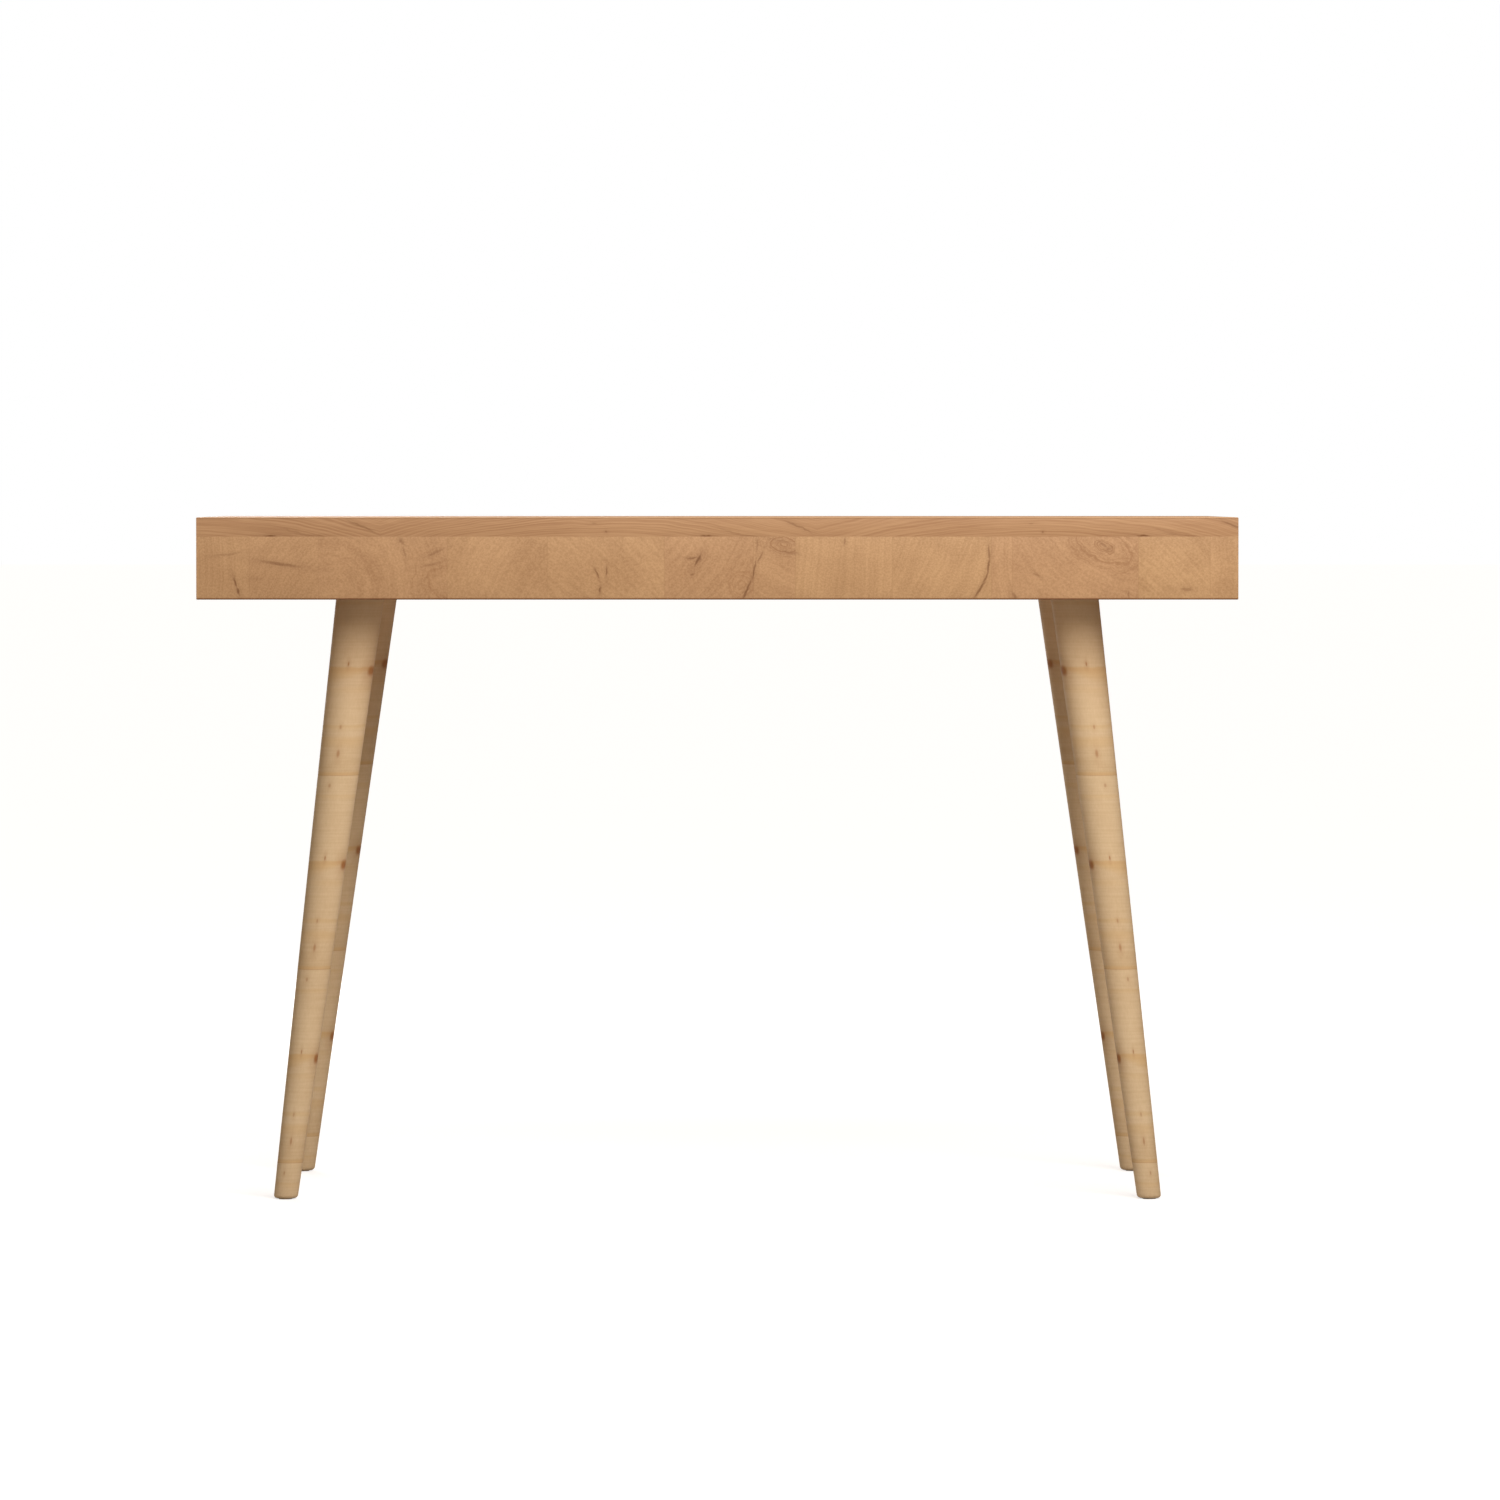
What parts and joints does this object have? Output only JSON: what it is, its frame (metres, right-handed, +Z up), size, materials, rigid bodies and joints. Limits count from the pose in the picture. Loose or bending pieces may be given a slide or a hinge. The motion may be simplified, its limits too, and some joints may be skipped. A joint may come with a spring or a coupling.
{
  "type": "communion table",
  "caption": "Maple communion table: a thick plain rectangular top on turned, tapered legs that splay outwards along its length.",
  "frame": {"origin": "on the floor, under the middle of the top", "axes": "+X to the right along the length, +Y from the front to the back, +Z up"},
  "size_m": [1.2192, 0.6096, 0.807],
  "materials": {
    "maple_top": "clear satin lacquer over edge-glued maple",
    "maple_leg": "clear satin lacquer over turned maple",
    "maple_inner": "sanded, not lacquered",
    "zinc_steel": "zinc plated",
    "nylon": "moulded, natural colour"
  },
  "bodies": {
    "root": {"back_apron": "maple_top", "bearer_screw_centre_1": "zinc_steel", "bearer_screw_centre_2": "zinc_steel", "bearer_screw_centre_3": "zinc_steel", "bearer_screw_left_1": "zinc_steel", "bearer_screw_left_2": "zinc_steel", "bearer_screw_left_3": "zinc_steel", "bearer_screw_right_1": "zinc_steel", "bearer_screw_right_2": "zinc_steel", "bearer_screw_right_3": "zinc_steel", "centre_bearer": "maple_inner", "corner_block_back_left": "maple_inner", "corner_block_back_right": "maple_inner", "corner_block_front_left": "maple_inner", "corner_block_front_right": "maple_inner", "foot_glide_back_left": "nylon", "foot_glide_back_right": "nylon", "foot_glide_front_left": "nylon", "foot_glide_front_right": "nylon", "front_apron": "maple_top", "hanger_bolt_back_left": "zinc_steel", "hanger_bolt_back_right": "zinc_steel", "hanger_bolt_front_left": "zinc_steel", "hanger_bolt_front_right": "zinc_steel", "left_apron": "maple_top", "left_leg_bearer": "maple_inner", "leg_back_left": "maple_leg", "leg_back_right": "maple_leg", "leg_front_left": "maple_leg", "leg_front_right": "maple_leg", "leg_plate_back_left": "zinc_steel", "leg_plate_back_right": "zinc_steel", "leg_plate_front_left": "zinc_steel", "leg_plate_front_right": "zinc_steel", "mitre_spline_back_left": "maple_inner", "mitre_spline_back_right": "maple_inner", "mitre_spline_front_left": "maple_inner", "mitre_spline_front_right": "maple_inner", "plate_screw_back_left_1": "zinc_steel", "plate_screw_back_left_2": "zinc_steel", "plate_screw_back_left_3": "zinc_steel", "plate_screw_back_left_4": "zinc_steel", "plate_screw_back_right_1": "zinc_steel", "plate_screw_back_right_2": "zinc_steel", "plate_screw_back_right_3": "zinc_steel", "plate_screw_back_right_4": "zinc_steel", "plate_screw_front_left_1": "zinc_steel", "plate_screw_front_left_2": "zinc_steel", "plate_screw_front_left_3": "zinc_steel", "plate_screw_front_left_4": "zinc_steel", "plate_screw_front_right_1": "zinc_steel", "plate_screw_front_right_2": "zinc_steel", "plate_screw_front_right_3": "zinc_steel", "plate_screw_front_right_4": "zinc_steel", "right_apron": "maple_top", "right_leg_bearer": "maple_inner", "top_panel": "maple_top"}
  },
  "joints": []
}
